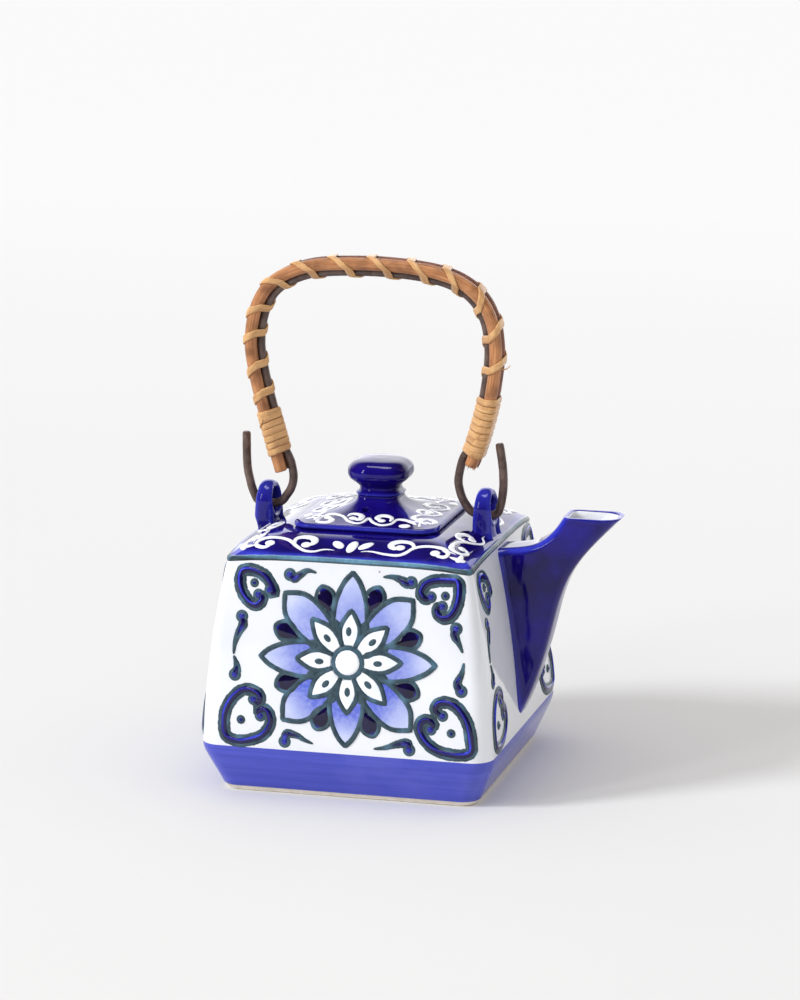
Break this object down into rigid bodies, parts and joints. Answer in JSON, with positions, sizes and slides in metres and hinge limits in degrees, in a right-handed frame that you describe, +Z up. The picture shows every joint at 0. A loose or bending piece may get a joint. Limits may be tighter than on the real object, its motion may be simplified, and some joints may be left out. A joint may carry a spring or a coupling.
{
  "type": "teapot",
  "caption": "Square glazed ceramic teapot, tapering to a low roof, with a square lift-off lid, an angular spout and a swinging cane and wire bail handle.",
  "frame": {"origin": "centre of the foot, on the surface that the teapot stands on", "axes": "+Z up, +X towards the spout, -Y out of the decorated front face; the hinge line of the handle runs along X"},
  "size_m": [0.1494, 0.112, 0.1962],
  "materials": {
    "white_glaze": "clear glossy glaze over white porcelain, with raised outlines and painted blue fills",
    "cobalt_glaze": "glossy cobalt glaze, thinner and brighter on edges",
    "wire": "dark brown lacquered steel wire, satin",
    "cane_light": "stained peeled cane with lengthwise grain, satin",
    "cane_dark": "dark stained peeled cane, satin",
    "split_cane": "natural split cane strip, glossy skin"
  },
  "bodies": {
    "pot": {"pot_body": "white_glaze", "spout": "cobalt_glaze", "lug_left": "cobalt_glaze", "lug_right": "cobalt_glaze"},
    "lid": {"lid": "cobalt_glaze", "lid_knob": "cobalt_glaze"},
    "handle": {"handle_wire": "wire", "cane_front": "cane_light", "cane_back": "cane_dark", "spiral_binding": "split_cane", "whipping_left": "split_cane", "whipping_right": "split_cane"}
  },
  "joints": [
    {"name": "lid_lift", "type": "slide", "parent": "pot", "child": "lid", "axis": [0, 0, 1], "range_m": [0, 0.045]},
    {"name": "handle_swing", "type": "hinge", "parent": "pot", "child": "handle", "pos_m": [0, 0, 0.09955], "axis": [1, 0, 0], "range_deg": [-86, 86]}
  ]
}
